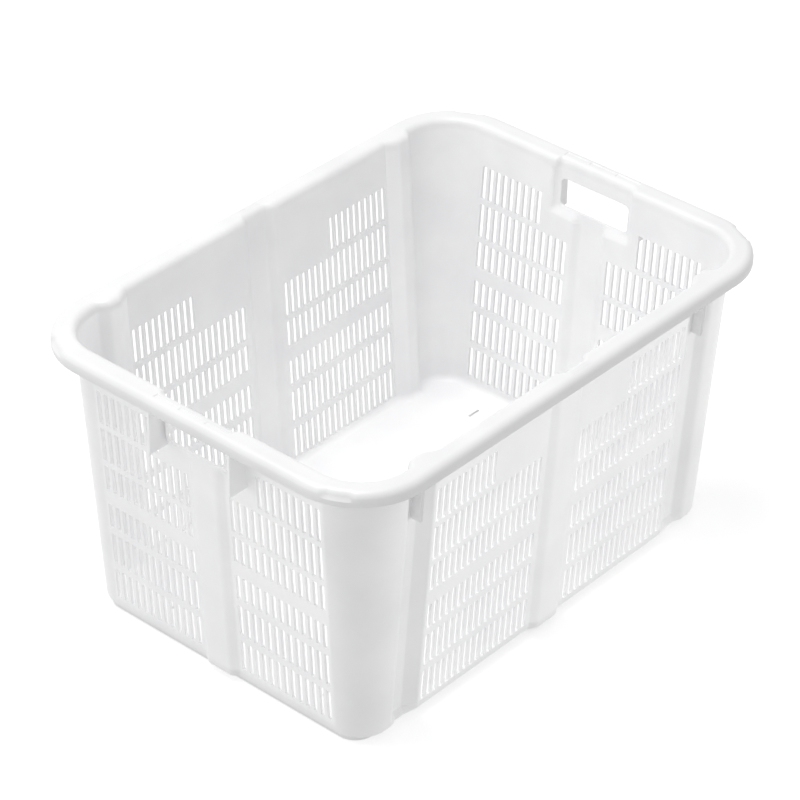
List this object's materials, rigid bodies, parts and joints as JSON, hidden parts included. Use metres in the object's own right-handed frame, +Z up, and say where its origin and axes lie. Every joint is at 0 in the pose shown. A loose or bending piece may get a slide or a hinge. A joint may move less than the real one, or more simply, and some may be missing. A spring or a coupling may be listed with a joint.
{
  "type": "vegetable basket",
  "caption": "Open slotted plastic harvest basket with leaning walls, a broad lipped rim, a hand hole under the rim at each end, folded centre columns and nesting grooves.",
  "frame": {"origin": "on the ground under the middle of the basket", "axes": "+X along the length towards the right end wall, +Y towards the back long wall, +Z up"},
  "size_m": [0.6, 0.43, 0.31],
  "materials": {
    "white_polyethylene": "satin moulded white polyethylene"
  },
  "bodies": {
    "root": {"back_column": "white_polyethylene", "back_panel_left_lower": "white_polyethylene", "back_panel_left_upper": "white_polyethylene", "back_panel_right_lower": "white_polyethylene", "back_panel_right_upper": "white_polyethylene", "corner_post_back_left": "white_polyethylene", "corner_post_back_right": "white_polyethylene", "corner_post_front_left": "white_polyethylene", "corner_post_front_right": "white_polyethylene", "floor_tray": "white_polyethylene", "foot_ring": "white_polyethylene", "front_column": "white_polyethylene", "front_panel_left_lower": "white_polyethylene", "front_panel_left_upper": "white_polyethylene", "front_panel_right_lower": "white_polyethylene", "front_panel_right_upper": "white_polyethylene", "left_column": "white_polyethylene", "left_hand_grip": "white_polyethylene", "left_panel_back_lower": "white_polyethylene", "left_panel_back_upper": "white_polyethylene", "left_panel_front_lower": "white_polyethylene", "left_panel_front_upper": "white_polyethylene", "right_column": "white_polyethylene", "right_hand_grip": "white_polyethylene", "right_panel_back_lower": "white_polyethylene", "right_panel_back_upper": "white_polyethylene", "right_panel_front_lower": "white_polyethylene", "right_panel_front_upper": "white_polyethylene", "rim": "white_polyethylene", "stop_lug_back_left": "white_polyethylene", "stop_lug_back_right": "white_polyethylene", "stop_lug_front_left": "white_polyethylene", "stop_lug_front_right": "white_polyethylene"}
  },
  "joints": []
}
